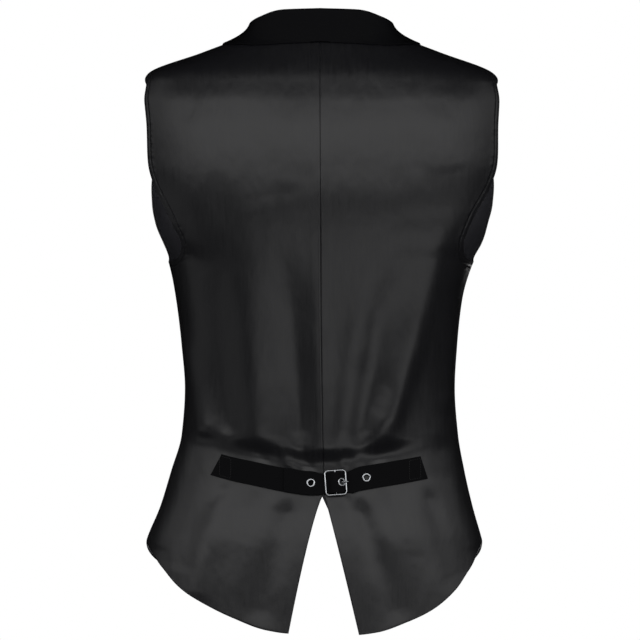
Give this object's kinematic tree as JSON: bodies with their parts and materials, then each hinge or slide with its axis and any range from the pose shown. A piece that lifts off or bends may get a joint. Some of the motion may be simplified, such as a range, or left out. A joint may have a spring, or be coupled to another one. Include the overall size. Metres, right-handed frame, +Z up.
{
  "type": "jacquard vest",
  "caption": "Sleeveless fitted vest with a shawl collar, pointed fronts, a vented back and a buckled back belt, filled out as if worn.",
  "frame": {"origin": "midway between the shoulders, at the height where the shoulder seams meet the neck, where the wearer's shoulders hold the vest", "axes": "+Z up along the wearer's body, +Y towards the wearer's back, +X towards the wearer's left"},
  "size_m": [0.3866, 0.2461, 0.6797],
  "materials": {
    "satin": "black satin, smooth with a soft sheen",
    "barathea": "black dull ribbed collar cloth",
    "jacquard": "black-on-black jacquard weave",
    "belting": "black matte belt cloth",
    "chrome": "polished",
    "button": "glossy black polyester"
  },
  "bodies": {
    "root": {"back_left": "satin", "back_right": "satin", "front_left": "jacquard", "front_right": "jacquard", "collar": "barathea", "strap_left": "belting", "strap_right": "belting", "buckle_frame": "chrome", "buckle_prong": "chrome", "eyelet_1": "chrome", "eyelet_2": "chrome", "eyelet_3": "chrome", "button_1": "button", "button_2": "button", "button_3": "button", "button_4": "button", "button_5": "button"}
  },
  "joints": []
}
